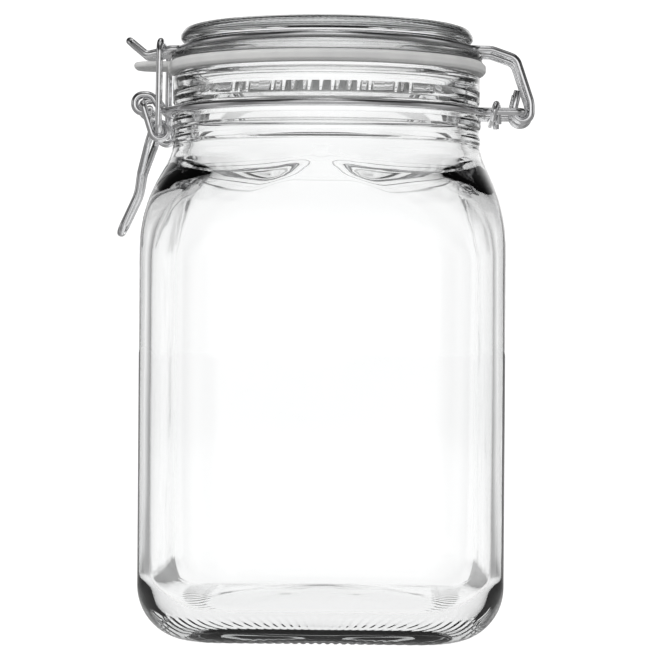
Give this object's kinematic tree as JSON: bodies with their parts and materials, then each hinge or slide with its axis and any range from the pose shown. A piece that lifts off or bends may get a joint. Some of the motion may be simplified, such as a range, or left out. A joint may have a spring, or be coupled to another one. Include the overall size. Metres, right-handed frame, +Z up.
{
  "type": "swing-top storage jar",
  "caption": "Square glass storage jar with a hinged glass lid, rubber gasket and over-centre wire clasp.",
  "frame": {"origin": "middle of the base, in the plane that the jar stands on", "axes": "+Z up along the jar's axis, +X towards the lid's hinge, so the clasp is on -X"},
  "size_m": [0.1267, 0.108, 0.183],
  "materials": {
    "clear_glass": "gloss",
    "gasket_rubber": "matte",
    "steel_wire": "bright drawn wire"
  },
  "bodies": {
    "jar": {"glass_jar": "clear_glass", "neck_wire": "steel_wire", "hinge_tie_wire": "steel_wire"},
    "lid": {"glass_lid": "clear_glass", "rubber_gasket": "gasket_rubber", "lid_wire": "steel_wire"},
    "lever": {"clasp_lever": "steel_wire"},
    "bail": {"clasp_bail": "steel_wire"}
  },
  "joints": [
    {"name": "lid_hinge", "type": "hinge", "parent": "jar", "child": "lid", "pos_m": [0.05935, 0, 0.1572], "axis": [0, 1, 0], "range_deg": [0, 210]},
    {"name": "lever_swing", "type": "hinge", "parent": "jar", "child": "lever", "pos_m": [-0.055, 0, 0.1593], "axis": [0, 1, 0], "range_deg": [0, 87]},
    {"name": "bail_swing", "type": "hinge", "parent": "lever", "child": "bail", "pos_m": [-0.0499, 0, 0.1509], "axis": [0, 1, 0], "range_deg": [-154, 0]}
  ],
  "couplings": [
    {"joint": "bail_swing", "follows": "lever_swing", "ratio": -1.75}
  ]
}
